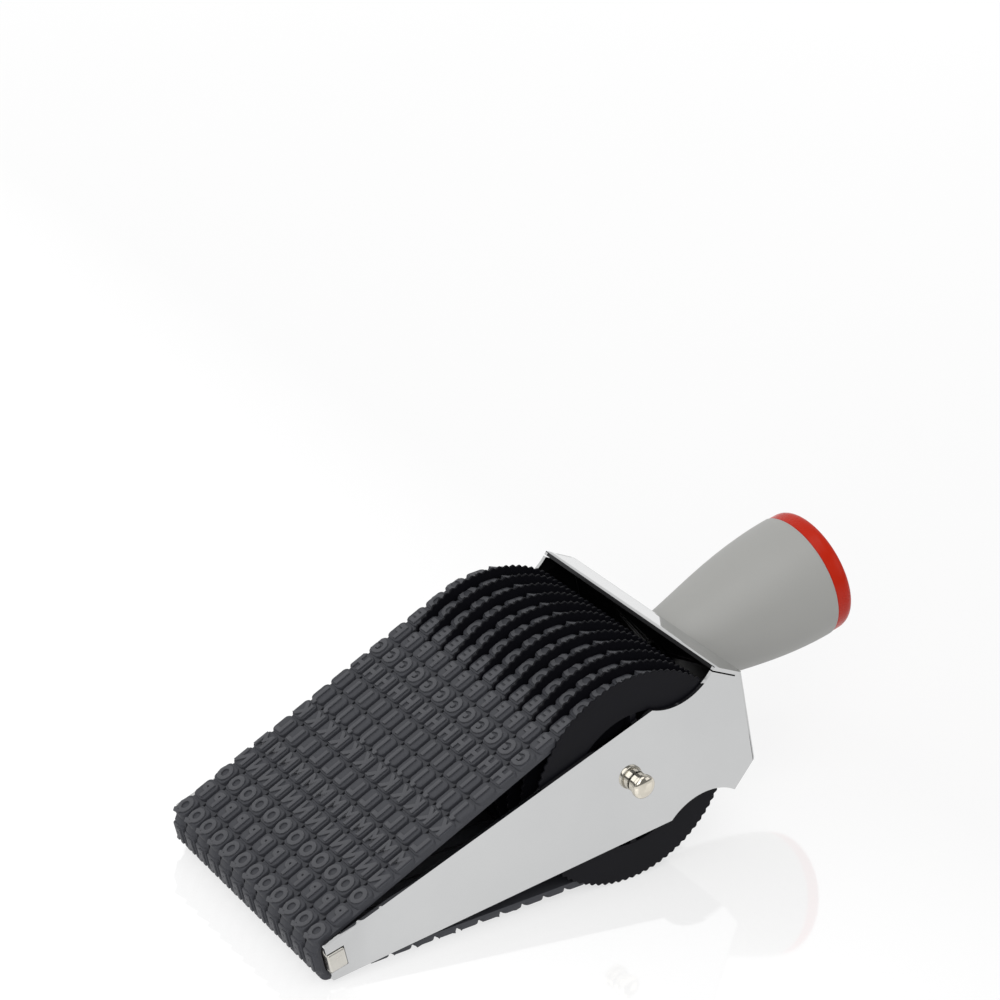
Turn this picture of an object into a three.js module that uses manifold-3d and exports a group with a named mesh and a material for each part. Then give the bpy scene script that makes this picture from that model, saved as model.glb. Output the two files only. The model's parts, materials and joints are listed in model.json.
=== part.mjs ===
// A roller number stamp with twelve endless type bands, lying as it is put down on a desk.
// Units are millimetres. The tool frame has its origin on the wheels' axle: +X runs to the handle,
// -Y to the near arm and +Z is up. The whole tool is then tilted until it rests on the rims of its
// wheels and on the bands round its nose.
import * as THREE from 'three';
import { mergeVertices } from 'three/addons/utils/BufferGeometryUtils.js';
import Module from 'manifold-3d';

const wasm = await Module();
wasm.setup();

// Clearances
const gap = 0.3;
const overrun = 2;

// The stack of wheels and bands on the axle
const unitCount = 12;
const unitPitch = 5.85;
const drumRadius = 24.5;
const rimHeight = 5.3;
const rimThickness = 0.6;
const recessWall = 5.5;
const recessDepth = 2.6;
const hubRadius = 5.5;
const axleRadius = 2;
const bandBase = 0.9;
const padHeight = 1.8;
const padCount = 43;
const padTopLength = 5.5;

// The bracket, bent from one sheet
const sheet = 1;
const sideRoom = 0.4;
const armReach = 91.1;
const noseHalfHeight = 5.25;
const tipX = 8;
const tipHalfHeight = 17.8;
const notchRadius = 15;
const shoulderRun = 7.9;
const shoulderHalfHeight = 19.85;
const rearRoom = 6;
const rearHalfHeight = 13.5;
const bendRadius = 1.2;
const flangeSlit = 0.35;
const slitEnd = 2.2;

// The nose bar that the bands run round
const barDepth = 6;
const barFlatHalfHeight = 2.6;
const barCornerRadius = 1.5;
const lugDepth = 4.6;
const lugHalfHeight = 2.6;
const lugProud = 0.3;

// The axle's end nuts
const nutRadius = 3.2;
const nutHeight = 4;
const nutWall = 1.4;
const nutChamfer = 0.7;

// The handle and its cap
const handleLength = 45.2;
const neckRadius = 10.6;
const headRadius = 17.5;
const flatFacing = 3.1;
const flatDistance = 13.2;
const flatStartDistance = 11.2;
const flatFullShare = 0.5;
const flatSharpness = 12;
const swellPower = 1.2;
const stationShares = [0, 0.14, 0.28, 0.42, 0.56, 0.7, 0.85, 1];
const handleWall = 2.4;
const handleFloor = 4;
const bossRadius = 5;
const bossLength = 24;
const capHeight = 3.6;
const capEdge = 1.2;
const capShoulderShare = 0.3;
const capCrown = 0.6;
const crownRadius = 6;
const plugLength = 4;
const plugPlay = 1.2;

// The screw that holds the handle
const screwRadius = 2;
const screwLength = 20;
const screwHeadRadius = 4;
const screwHeadHeight = 2.2;
const screwHeadEdge = 0.7;
const washerRadius = 5;
const washerThickness = 0.8;

// How finely round shapes are cut
const rimSides = 48;
const drumSides = 30;
const recessSides = 24;
const hubSides = 10;
const pinSides = 16;
const sectionSides = 32;
const bandArcSteps = 20;
const cornerSteps = 3;
const bendSteps = 4;
const notchSteps = 9;
const smallestStep = 0.0005;
const coordinates = 3;

// Sizes that follow from the ones above
const rimRadius = drumRadius + rimHeight;
const recessRadius = drumRadius - recessWall;
const rearX = rimRadius + rearRoom;
const shoulderX = rearX - shoulderRun;
const stackHalfWidth = unitCount * unitPitch / 2;
const innerHalfWidth = stackHalfWidth + sideRoom;
const outerHalfWidth = innerHalfWidth + sheet;
const bandInner = drumRadius + gap;
const boreRadius = axleRadius + gap;
const loopCornerRadius = barCornerRadius + gap;
const loopFront = armReach + gap;
const loopCornerX = loopFront - loopCornerRadius;
const nutInner = outerHalfWidth + gap;
const axleHalfLength = nutInner + nutHeight - nutWall - gap;
const handleStart = rearX + gap;
const handleEnd = handleStart + handleLength;
const headFlatShare = flatDistance / headRadius;
const screwStart = rearX - sheet - gap - washerThickness - gap;

// The bands' straight runs touch the drum and the nose bar's corners, which sets their slope.
const cornerDistance = Math.hypot(loopCornerX, barFlatHalfHeight);
const radiusDrop = bandInner - loopCornerRadius;
const runSlope = Math.asin(radiusDrop / cornerDistance) - Math.atan2(barFlatHalfHeight, loopCornerX);

// The tool lies on the wheel rims and on the bands' outer corner at the nose.
const outerCornerRadius = loopCornerRadius + bandBase + padHeight;
const restDrop = rimRadius - outerCornerRadius;
const restTilt = Math.asin(restDrop / cornerDistance) - Math.atan2(barFlatHalfHeight, loopCornerX);

const chrome = new THREE.MeshStandardMaterial({ color: 0xc9cbcc, metalness: 1, roughness: 0.12 });
const blackOxide = new THREE.MeshStandardMaterial({ color: 0x303031, metalness: 1, roughness: 0.4 });
const nickel = new THREE.MeshStandardMaterial({ color: 0xb9b2a2, metalness: 1, roughness: 0.25 });
const blackPlastic = new THREE.MeshStandardMaterial({ color: 0x17181a, metalness: 0, roughness: 0.5 });
const bandRubber = new THREE.MeshStandardMaterial({ color: 0x4a4b50, metalness: 0, roughness: 0.75 });
const greyPlastic = new THREE.MeshStandardMaterial({ color: 0x9a9b96, metalness: 0, roughness: 0.45 });
const redPlastic = new THREE.MeshStandardMaterial({ color: 0xc41c10, metalness: 0, roughness: 0.2 });

// Turns a closed geometry into a solid for joining and cutting.
function solidOf(geometry) {
  const bare = geometry.clone();
  bare.deleteAttribute('normal');
  bare.deleteAttribute('uv');
  const merged = mergeVertices(bare, smallestStep);
  const mesh = new wasm.Mesh({
    numProp: coordinates,
    vertProperties: new Float32Array(merged.attributes.position.array),
    triVerts: new Uint32Array(merged.index.array),
  });
  return new wasm.Manifold(mesh);
}

// Turns a finished solid back into a geometry.
function geometryOf(solid) {
  const mesh = solid.getMesh();
  const geometry = new THREE.BufferGeometry();
  const positions = new Float32Array(mesh.vertProperties);
  geometry.setAttribute('position', new THREE.BufferAttribute(positions, coordinates));
  geometry.setIndex(new THREE.BufferAttribute(new Uint32Array(mesh.triVerts), 1));
  const faceted = geometry.toNonIndexed();
  faceted.computeVertexNormals();
  return faceted;
}

// Extrudes an outline drawn in X and Z between two places across the tool.
function acrossTool(outline, yLow, yHigh) {
  const geometry = new THREE.ExtrudeGeometry(outline, {
    depth: yHigh - yLow,
    bevelEnabled: false,
  });
  geometry.rotateX(Math.PI / 2);
  geometry.translate(0, yHigh, 0);
  return geometry;
}

// Extrudes an outline drawn in X and Y to the same height above and below the tool's axis.
function upTool(outline, halfHeight) {
  const geometry = new THREE.ExtrudeGeometry(outline, {
    depth: halfHeight * 2,
    bevelEnabled: false,
  });
  geometry.translate(0, 0, -halfHeight);
  return geometry;
}

// A cylinder along the axle.
function pinAcross(radius, yLow, yHigh, sides) {
  const geometry = new THREE.CylinderGeometry(radius, radius, yHigh - yLow, sides);
  geometry.translate(0, (yLow + yHigh) / 2, 0);
  return geometry;
}

// A cylinder along the tool.
function pinAlong(radius, xLow, xHigh, sides) {
  const geometry = new THREE.CylinderGeometry(radius, radius, xHigh - xLow, sides);
  geometry.rotateZ(-Math.PI / 2);
  geometry.translate((xLow + xHigh) / 2, 0, 0);
  return geometry;
}

function outlineOf(points) {
  return new THREE.Shape(points.map(([x, y]) => new THREE.Vector2(x, y)));
}

// Points of an arc about a centre, both ends included.
function arcPoints(centreX, centreY, radius, from, to, steps) {
  const points = [];
  for (let step = 0; step <= steps; step += 1) {
    const angle = from + (to - from) * step / steps;
    points.push([centreX + radius * Math.cos(angle), centreY + radius * Math.sin(angle)]);
  }
  return points;
}

// The side view of an arm: a long taper from the nose, a finger notch and a six-cornered rear end.
function armOutline() {
  const chordX = shoulderX - tipX;
  const chordZ = shoulderHalfHeight - tipHalfHeight;
  const chord = Math.hypot(chordX, chordZ);
  const rise = Math.sqrt(notchRadius ** 2 - (chord / 2) ** 2);
  const centreX = (tipX + shoulderX) / 2 - rise * chordZ / chord;
  const centreZ = (tipHalfHeight + shoulderHalfHeight) / 2 + rise * chordX / chord;
  const from = Math.atan2(tipHalfHeight - centreZ, tipX - centreX);
  const to = Math.atan2(shoulderHalfHeight - centreZ, shoulderX - centreX);
  const top = [[-armReach, noseHalfHeight]];
  top.push(...arcPoints(centreX, centreZ, notchRadius, from, to, notchSteps));
  top.push([rearX, rearHalfHeight]);
  const bottom = top.map(([x, z]) => [x, -z]).reverse();
  return outlineOf([...bottom, ...top]);
}

// The plan view of the bent sheet: two arms and the plate between their rear ends.
function stripOutline(filled) {
  const cornerX = rearX - bendRadius;
  const cornerY = outerHalfWidth - bendRadius;
  const right = Math.PI / 2;
  const outer = [
    [-armReach, -outerHalfWidth],
    ...arcPoints(cornerX, -cornerY, bendRadius, -right, 0, bendSteps),
    ...arcPoints(cornerX, cornerY, bendRadius, 0, right, bendSteps),
    [-armReach, outerHalfWidth],
  ];
  if (filled) {
    return outlineOf(outer);
  }
  const inner = [
    [-armReach, innerHalfWidth],
    ...arcPoints(cornerX, cornerY, bendRadius - sheet, right, 0, bendSteps),
    ...arcPoints(cornerX, -cornerY, bendRadius - sheet, 0, -right, bendSteps),
    [-armReach, -innerHalfWidth],
  ];
  return outlineOf([...outer, ...inner]);
}

// A strip that follows the sloping shoulder, between two depths under its outer face.
function shoulderStrip(side, depthFrom, depthTo, startPast, endShort) {
  const alongX = rearX - shoulderX;
  const alongZ = rearHalfHeight - shoulderHalfHeight;
  const length = Math.hypot(alongX, alongZ);
  const unitX = alongX / length;
  const unitZ = alongZ / length;
  const point = (along, depth) => [
    shoulderX + unitX * along + unitZ * depth,
    side * (shoulderHalfHeight + unitZ * along - unitX * depth),
  ];
  const last = length - endShort;
  return outlineOf([
    point(-startPast, depthTo),
    point(last, depthTo),
    point(last, depthFrom),
    point(-startPast, depthFrom),
  ]);
}

function makeBracket() {
  const wide = outerHalfWidth + overrun;
  const arms = solidOf(upTool(stripOutline(false), shoulderHalfHeight + overrun));
  let body = arms.intersect(solidOf(acrossTool(armOutline(), -wide, wide)));
  const plan = solidOf(upTool(stripOutline(true), shoulderHalfHeight + overrun));
  for (const side of [1, -1]) {
    const flange = solidOf(acrossTool(shoulderStrip(side, 0, sheet, 0, 0), -wide, wide));
    body = body.add(flange.intersect(plan));
  }
  // The lower flange is folded on to the arms, and the upper one stands free of them by a slit.
  const slit = acrossTool(shoulderStrip(1, sheet, sheet + flangeSlit, overrun, slitEnd), -wide, wide);
  body = body.subtract(solidOf(slit));
  const slotLength = lugDepth + gap + overrun;
  const slotHeight = (lugHalfHeight + gap) * 2;
  const slot = new THREE.BoxGeometry(slotLength, wide * 2, slotHeight);
  slot.translate(lugDepth + gap - armReach - slotLength / 2, 0, 0);
  body = body.subtract(solidOf(slot));
  body = body.subtract(solidOf(pinAcross(boreRadius, -wide, wide, pinSides)));
  const screwHole = pinAlong(screwRadius + gap, rearX - sheet - overrun, rearX + overrun, pinSides);
  return geometryOf(body.subtract(solidOf(screwHole)));
}

// The nose bar's section lies the clearance inside the bands, and a lug at each end fills a slot.
function makeNoseBar() {
  const right = Math.PI / 2;
  const cornerX = barCornerRadius - armReach;
  const backX = barDepth - armReach;
  const backZ = (drumRadius + backX * Math.sin(runSlope)) / Math.cos(runSlope);
  const corner = arcPoints(
    cornerX, barFlatHalfHeight, barCornerRadius, right * 2, right + runSlope, cornerSteps,
  );
  const top = [...corner, [backX, backZ]];
  const bottom = top.map(([x, z]) => [x, -z]).reverse();
  const barHalf = innerHalfWidth - gap;
  const bar = solidOf(acrossTool(outlineOf([...bottom, ...top]), -barHalf, barHalf));
  const lugHalf = outerHalfWidth + lugProud;
  const lugs = new THREE.BoxGeometry(lugDepth, lugHalf * 2, lugHalfHeight * 2);
  lugs.translate(lugDepth / 2 - armReach, 0, 0);
  return geometryOf(bar.add(solidOf(lugs)));
}

// A wheel: a thin rim disc on the near side, the drum that carries a band, and a hub.
function makeWheel() {
  const drumWidth = unitPitch - gap;
  let body = solidOf(pinAcross(rimRadius, 0, rimThickness, rimSides));
  body = body.add(solidOf(pinAcross(drumRadius, 0, drumWidth, drumSides)));
  const recess = solidOf(pinAcross(recessRadius, -overrun, recessDepth, recessSides));
  const hub = solidOf(pinAcross(hubRadius, 0, drumWidth, hubSides));
  body = body.subtract(recess).add(hub);
  return geometryOf(body.subtract(solidOf(pinAcross(boreRadius, -overrun, unitPitch, hubSides))));
}

// The path of a band at some height over its inner face, as a place for every length along it.
function bandPath(height) {
  const drum = bandInner + height;
  const corner = loopCornerRadius + height;
  const neutral = bandBase / 2;
  const run = Math.sqrt(cornerDistance ** 2 - radiusDrop ** 2);
  const cornerSweep = Math.PI / 2 - runSlope;
  const cornerLength = (loopCornerRadius + neutral) * cornerSweep;
  const drumSweep = Math.PI / 2 + runSlope;
  const drumLength = (bandInner + neutral) * drumSweep;
  const halfLength = barFlatHalfHeight + cornerLength + run + drumLength;
  const upper = (length) => {
    if (length <= barFlatHalfHeight) {
      return [-loopFront - height, length];
    }
    let rest = length - barFlatHalfHeight;
    if (rest <= cornerLength) {
      const angle = Math.PI - cornerSweep * rest / cornerLength;
      const cornerZ = barFlatHalfHeight + corner * Math.sin(angle);
      return [-loopCornerX + corner * Math.cos(angle), cornerZ];
    }
    rest -= cornerLength;
    if (rest <= run) {
      const back = run - rest;
      const x = -drum * Math.sin(runSlope) - back * Math.cos(runSlope);
      return [x, drum * Math.cos(runSlope) - back * Math.sin(runSlope)];
    }
    rest -= run;
    const angle = drumSweep * (1 - rest / drumLength);
    return [drum * Math.cos(angle), drum * Math.sin(angle)];
  };
  const place = (length) => {
    if (length <= halfLength) {
      return upper(length);
    }
    const [x, z] = upper(halfLength * 2 - length);
    return [x, -z];
  };
  return { place, halfLength, frontEnd: barFlatHalfHeight, cornerLength, run };
}

// A band: an endless strip with one raised type pad for each character.
function makeBand() {
  const inside = bandPath(0);
  const groove = bandPath(bandBase);
  const top = bandPath(bandBase + padHeight);
  const pitch = inside.halfLength * 2 / padCount;
  const whole = inside.halfLength * 2;
  const outer = [];
  for (let pad = 0; pad < padCount; pad += 1) {
    const centre = pad * pitch;
    outer.push(top.place((centre - padTopLength / 2 + whole) % whole));
    outer.push(top.place(centre + padTopLength / 2));
    outer.push(groove.place(centre + pitch / 2));
  }
  const upperSide = [];
  const cornerEnd = inside.frontEnd + inside.cornerLength;
  for (let step = 0; step <= cornerSteps; step += 1) {
    upperSide.push(inside.place(inside.frontEnd + inside.cornerLength * step / cornerSteps));
  }
  const drumStart = cornerEnd + inside.run;
  const arcHalfSteps = bandArcSteps / 2;
  for (let step = 0; step < arcHalfSteps; step += 1) {
    const share = step / arcHalfSteps;
    upperSide.push(inside.place(drumStart + (inside.halfLength - drumStart) * share));
  }
  const lowerSide = upperSide.map(([x, z]) => [x, -z]).reverse();
  const outline = outlineOf(outer);
  const innerPoints = [...upperSide, [bandInner, 0], ...lowerSide].reverse();
  outline.holes.push(new THREE.Path(innerPoints.map(([x, z]) => new THREE.Vector2(x, z))));
  return acrossTool(outline, rimThickness + gap, unitPitch - gap);
}

function makeAxle() {
  return pinAcross(axleRadius, -axleHalfLength, axleHalfLength, pinSides);
}

// A round cap nut, turned about the axle, with its blind hole towards the arm.
function makeNut(side) {
  const outerEnd = nutInner + nutHeight;
  const profile = [
    [0, outerEnd - nutWall],
    [boreRadius, outerEnd - nutWall],
    [boreRadius, nutInner],
    [nutRadius, nutInner],
    [nutRadius, outerEnd - nutChamfer],
    [nutRadius - nutChamfer, outerEnd],
    [0, outerEnd],
  ];
  const points = profile.map(([radius, y]) => new THREE.Vector2(radius, y));
  const geometry = new THREE.LatheGeometry(points, pinSides);
  if (side < 0) {
    geometry.rotateX(Math.PI);
  }
  return geometryOf(solidOf(geometry));
}

// A ring of the handle's section: round, with one flat for the thumb at a share of the radius.
function sectionRing(x, radius, flatShare) {
  const ring = [];
  for (let side = 0; side < sectionSides; side += 1) {
    const angle = 2 * Math.PI * side / sectionSides;
    const facing = Math.max(Math.cos(angle - flatFacing), 0);
    const blend = 1 + (facing / flatShare) ** flatSharpness;
    const reach = radius / blend ** (1 / flatSharpness);
    ring.push([x, -reach * Math.cos(angle), reach * Math.sin(angle)]);
  }
  return ring;
}

// Joins rings into one closed skin, with a fan over the first and the last.
function loft(rings) {
  const positions = [];
  const index = [];
  const count = sectionSides;
  for (const ring of rings) {
    for (const point of ring) {
      positions.push(...point);
    }
  }
  for (let row = 0; row + 1 < rings.length; row += 1) {
    for (let side = 0; side < count; side += 1) {
      const next = (side + 1) % count;
      const here = row * count;
      const there = here + count;
      index.push(here + side, there + side, here + next);
      index.push(here + next, there + side, there + next);
    }
  }
  const firstCentre = rings.length * count;
  const lastCentre = firstCentre + 1;
  positions.push(rings[0][0][0], 0, 0);
  positions.push(rings[rings.length - 1][0][0], 0, 0);
  const lastRow = (rings.length - 1) * count;
  for (let side = 0; side < count; side += 1) {
    const next = (side + 1) % count;
    index.push(firstCentre, side, next);
    index.push(lastCentre, lastRow + next, lastRow + side);
  }
  const geometry = new THREE.BufferGeometry();
  geometry.setAttribute('position', new THREE.Float32BufferAttribute(positions, coordinates));
  geometry.setIndex(index);
  return geometry;
}

// The handle swells from its neck to its head. The flat draws away from the axis along the first
// part of the handle and then runs on level with the axis.
function handleRadius(share) {
  return neckRadius + (headRadius - neckRadius) * Math.sin(share * Math.PI / 2) ** swellPower;
}

function flatAt(share) {
  const grown = Math.min(share / flatFullShare, 1);
  const distance = flatStartDistance + (flatDistance - flatStartDistance) * grown;
  return distance / handleRadius(share);
}

function makeHandle() {
  const rings = [];
  for (const share of stationShares) {
    rings.push(sectionRing(handleStart + handleLength * share, handleRadius(share), flatAt(share)));
  }
  const floorX = handleStart + handleFloor;
  const floorShare = handleFloor / handleLength;
  for (const share of [...stationShares].reverse()) {
    if (share > floorShare) {
      const x = handleStart + handleLength * share;
      rings.push(sectionRing(x, handleRadius(share) - handleWall, flatAt(share)));
    }
  }
  rings.push(sectionRing(floorX, handleRadius(floorShare) - handleWall, flatAt(floorShare)));
  let body = solidOf(loft(rings));
  const bossEnd = floorX + bossLength;
  body = body.add(solidOf(pinAlong(bossRadius, floorX - handleFloor / 2, bossEnd, pinSides)));
  const boreEnd = screwStart + screwLength + gap;
  return geometryOf(body.subtract(solidOf(pinAlong(screwRadius + gap, 0, boreEnd, pinSides))));
}

// The cap closes the handle's mouth with a plug and shows as a coloured band.
function makeCap() {
  const capStart = handleEnd + gap;
  const capRim = capStart + capHeight;
  const capEnd = capRim + capEdge;
  const plugRadius = headRadius - handleWall - gap - plugPlay;
  const shoulder = capEdge * capShoulderShare;
  const rings = [
    sectionRing(capStart - plugLength, plugRadius, headFlatShare),
    sectionRing(capStart, plugRadius, headFlatShare),
    sectionRing(capStart, headRadius, headFlatShare),
    sectionRing(capRim, headRadius, headFlatShare),
    sectionRing(capEnd - shoulder, headRadius - shoulder, headFlatShare),
    sectionRing(capEnd, headRadius - capEdge, headFlatShare),
    sectionRing(capEnd + capCrown, crownRadius, headFlatShare),
  ];
  return geometryOf(solidOf(loft(rings)));
}

// Turns a profile of radii and places along the tool about the tool's axis.
function turned(profile) {
  const points = profile.map(([radius, x]) => new THREE.Vector2(radius, x));
  const geometry = new THREE.LatheGeometry(points, pinSides);
  geometry.rotateZ(-Math.PI / 2);
  return geometryOf(solidOf(geometry));
}

function makeScrew() {
  const headTop = screwStart - screwHeadHeight;
  return turned([
    [0, headTop],
    [screwHeadRadius - screwHeadEdge, headTop],
    [screwHeadRadius, headTop + screwHeadEdge],
    [screwHeadRadius, screwStart],
    [screwRadius, screwStart],
    [screwRadius, screwStart + screwLength],
    [0, screwStart + screwLength],
  ]);
}

function makeWasher() {
  const washerStart = screwStart + gap;
  const inner = screwRadius + gap;
  return turned([
    [inner, washerStart],
    [washerRadius, washerStart],
    [washerRadius, washerStart + washerThickness],
    [inner, washerStart + washerThickness],
    [inner, washerStart],
  ]);
}

const tool = new THREE.Group();
tool.rotation.y = -restTilt;

function addPiece(name, geometry, material, y) {
  const piece = new THREE.Mesh(geometry, material);
  piece.name = name;
  piece.position.y = y;
  tool.add(piece);
}

addPiece('bracket', makeBracket(), chrome, 0);
addPiece('nose_bar', makeNoseBar(), nickel, 0);
addPiece('axle', makeAxle(), nickel, 0);
addPiece('axle_nut_near', makeNut(-1), nickel, 0);
addPiece('axle_nut_far', makeNut(1), nickel, 0);

const wheelShape = makeWheel();
const bandShape = makeBand();
for (let unit = 1; unit <= unitCount; unit += 1) {
  const label = String(unit).padStart(2, '0');
  const nearFace = stackHalfWidth - unit * unitPitch;
  addPiece(`number_wheel_${label}`, wheelShape, blackPlastic, nearFace);
  addPiece(`type_band_${label}`, bandShape, bandRubber, nearFace);
}

addPiece('handle_body', makeHandle(), greyPlastic, 0);
addPiece('handle_cap', makeCap(), redPlastic, 0);
addPiece('handle_screw', makeScrew(), blackOxide, 0);
addPiece('handle_screw_washer', makeWasher(), blackOxide, 0);

// The part stands on the ground plane with its origin under the middle of its own box.
const stamp = new THREE.Group();
stamp.add(tool);
stamp.updateMatrixWorld(true);
const extent = new THREE.Box3().setFromObject(tool, true);
tool.position.x -= (extent.min.x + extent.max.x) / 2;
tool.position.z -= extent.min.z;

export default stamp;
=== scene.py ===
# A roller number stamp with twelve rubber type bands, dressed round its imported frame. Shapes are
# drawn in millimetres in the tool's own frame, with the axle's centre as origin, +X towards the
# handle, -Y towards the near arm and +Z up, and are then laid in the frame's place in metres.
import json
import math

import bmesh
import bpy
from mathutils import Matrix, Vector


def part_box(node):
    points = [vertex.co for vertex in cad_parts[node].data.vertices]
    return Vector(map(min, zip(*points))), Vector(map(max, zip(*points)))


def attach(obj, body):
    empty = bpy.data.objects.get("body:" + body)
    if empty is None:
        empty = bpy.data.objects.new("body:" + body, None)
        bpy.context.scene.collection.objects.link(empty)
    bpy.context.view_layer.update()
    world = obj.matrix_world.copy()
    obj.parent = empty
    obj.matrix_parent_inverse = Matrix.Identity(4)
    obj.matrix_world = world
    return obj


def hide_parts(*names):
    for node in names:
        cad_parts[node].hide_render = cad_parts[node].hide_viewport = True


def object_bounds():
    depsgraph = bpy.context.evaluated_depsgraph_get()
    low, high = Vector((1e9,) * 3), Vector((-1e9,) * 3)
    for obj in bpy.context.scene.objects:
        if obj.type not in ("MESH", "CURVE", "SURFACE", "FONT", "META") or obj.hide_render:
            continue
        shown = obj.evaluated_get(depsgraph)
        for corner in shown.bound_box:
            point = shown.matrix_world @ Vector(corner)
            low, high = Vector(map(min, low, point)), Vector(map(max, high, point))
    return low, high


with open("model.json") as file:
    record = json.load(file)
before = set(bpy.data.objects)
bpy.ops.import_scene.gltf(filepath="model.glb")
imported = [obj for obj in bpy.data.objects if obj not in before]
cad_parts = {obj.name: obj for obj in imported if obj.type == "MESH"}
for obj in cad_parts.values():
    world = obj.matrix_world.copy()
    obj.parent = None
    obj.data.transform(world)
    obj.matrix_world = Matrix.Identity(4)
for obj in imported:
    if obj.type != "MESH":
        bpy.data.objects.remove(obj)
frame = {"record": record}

cad_low, cad_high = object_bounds()

# Bracket. One strip of steel sheet, stamped out and bent into two arms and the plate between their
# rear ends, with a flange folded forward above and below to stiffen it. It is polished and chromed,
# and carries the axle, the nose bar and the handle.
mm = 0.001
sheet = 1.0
outer_half_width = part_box("bracket")[1].y / mm
arm_reach = 91.1
nose_half_height = 5.25
tip_x = 8.0
tip_half_height = 17.8
notch_radius = 15.0
shoulder_x = 27.9
shoulder_half_height = 19.85
rear_x = 35.8
rear_half_height = 13.5
bend_radius = 1.2
slit_gap = 0.4
slit_end = 2.2
lug_slot_depth = 4.9
lug_slot_half_height = 2.9
axle_hole = 2.3
screw_hole = 2.3
nose_corner = 0.5
shoulder_corner = 0.35
rear_corner = 1.1
edge_round = 0.3
overrun = 3.0
inner_shade_reach = 8.0

axle_low, axle_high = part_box("axle")
axle_centre = (axle_low + axle_high) / 2
mounts = {mount["name"]: mount for mount in frame["record"]["mounts"]}
printing_way = Vector(mounts["printing_face"]["axis"])
tilt = math.atan2(-printing_way.z, -printing_way.x)
tool_place = Matrix.Translation(axle_centre) @ Matrix.Rotation(-tilt, 4, "Y")


def arc(centre_x, centre_y, radius, start, end, steps):
    points = []
    for step in range(steps + 1):
        angle = start + (end - start) * step / steps
        points.append((centre_x + radius * math.cos(angle), centre_y + radius * math.sin(angle)))
    return points


def rounded(corners, steps=5):
    """Rounds each corner of an outline given as (x, y, radius)."""
    points = []
    for place, (x, y, radius) in enumerate(corners):
        here = Vector((x, y))
        if radius == 0:
            points.append((x, y))
            continue
        before = (Vector(corners[place - 1][:2]) - here).normalized()
        after = (Vector(corners[(place + 1) % len(corners)][:2]) - here).normalized()
        half = before.angle(after) / 2
        start = here + before * radius / math.tan(half)
        end = here + after * radius / math.tan(half)
        centre = here + (before + after).normalized() * radius / math.sin(half)
        for step in range(steps + 1):
            share = step / steps
            ray = (start - centre).lerp(end - centre, share).normalized()
            points.append(tuple(centre + ray * radius))
    return points


def skin(shape, rings):
    """Faces from each ring of points to the next."""
    for here, there in zip(rings, rings[1:]):
        for place in range(len(here)):
            after = (place + 1) % len(here)
            shape.faces.new((here[place], here[after], there[after], there[place]))


def circle(shape, radius, along, sides, across):
    """A ring of points round the axle, or round the tool's long axis."""
    ring = []
    for side in range(sides):
        angle = 2 * math.pi * side / sides
        a, b = radius * math.cos(angle), radius * math.sin(angle)
        ring.append(shape.verts.new(Vector((a, along, b) if across else (along, a, b)) * mm))
    return ring


def prism(name, outline, low, high, upright):
    """A closed block: an outline in X and Y drawn upwards, or one in X and Z drawn across the tool."""
    shape = bmesh.new()
    rings = []
    for height in (low, high):
        if upright:
            rings.append([shape.verts.new(Vector((x, y, height)) * mm) for x, y in outline])
        else:
            rings.append([shape.verts.new(Vector((x, height, y)) * mm) for x, y in outline])
    shape.faces.new(rings[0])
    shape.faces.new(rings[1])
    skin(shape, rings)
    bmesh.ops.recalc_face_normals(shape, faces=shape.faces)
    return piece_of(name, shape)


def piece_of(name, shape):
    mesh = bpy.data.meshes.new(name)
    shape.to_mesh(mesh)
    shape.free()
    piece = bpy.data.objects.new(name, mesh)
    bpy.context.scene.collection.objects.link(piece)
    return piece


def settle(piece):
    """Applies the modifiers of a piece to its mesh."""
    bpy.context.view_layer.update()
    ready = piece.evaluated_get(bpy.context.evaluated_depsgraph_get())
    mesh = bpy.data.meshes.new_from_object(ready)
    piece.modifiers.clear()
    piece.data = mesh
    mesh.name = piece.name


def carve(piece, other, how):
    """Joins another block to a piece, cuts it away, or keeps only what both share."""
    step = piece.modifiers.new(how, "BOOLEAN")
    step.operation = how
    step.solver = "EXACT"
    step.object = other
    settle(piece)
    bpy.data.objects.remove(other)


def pin(name, radius, low, high, across, sides=48):
    """A round block along the axle or along the tool."""
    shape = bmesh.new()
    rings = [circle(shape, radius, place, sides, across) for place in (low, high)]
    shape.faces.new(rings[0])
    shape.faces.new(rings[1])
    skin(shape, rings)
    bmesh.ops.recalc_face_normals(shape, faces=shape.faces)
    return piece_of(name, shape)


def ease_edges(piece, width, segments=3, angle=30):
    """Takes the sharpness off the edges and shades the faces between them smoothly."""
    shape = bmesh.new()
    shape.from_mesh(piece.data)
    bmesh.ops.dissolve_limit(shape, angle_limit=math.radians(0.4), verts=shape.verts, edges=shape.edges)
    shape.to_mesh(piece.data)
    shape.free()
    step = piece.modifiers.new("edges", "BEVEL")
    step.width = width * mm
    step.segments = segments
    step.limit_method = "ANGLE"
    step.angle_limit = math.radians(angle)
    step.harden_normals = False
    settle(piece)
    smooth(piece)


def smooth(piece, angle=35):
    piece.data.shade_smooth()
    piece.data.set_sharp_from_angle(angle=math.radians(angle))
    step = piece.modifiers.new("normals", "WEIGHTED_NORMAL")
    step.keep_sharp = True
    settle(piece)


def fit(piece, finish, body, slot, *nodes, place=None):
    """Lays a finished piece in its place on a body, in the stead of its plain solids."""
    if place is None:
        piece.data.transform(tool_place)
    else:
        piece.matrix_world = place
    piece.data.materials.clear()
    piece.data.materials.append(finish)
    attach(piece, body)
    if nodes:
        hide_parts(*nodes)
    return piece


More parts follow.
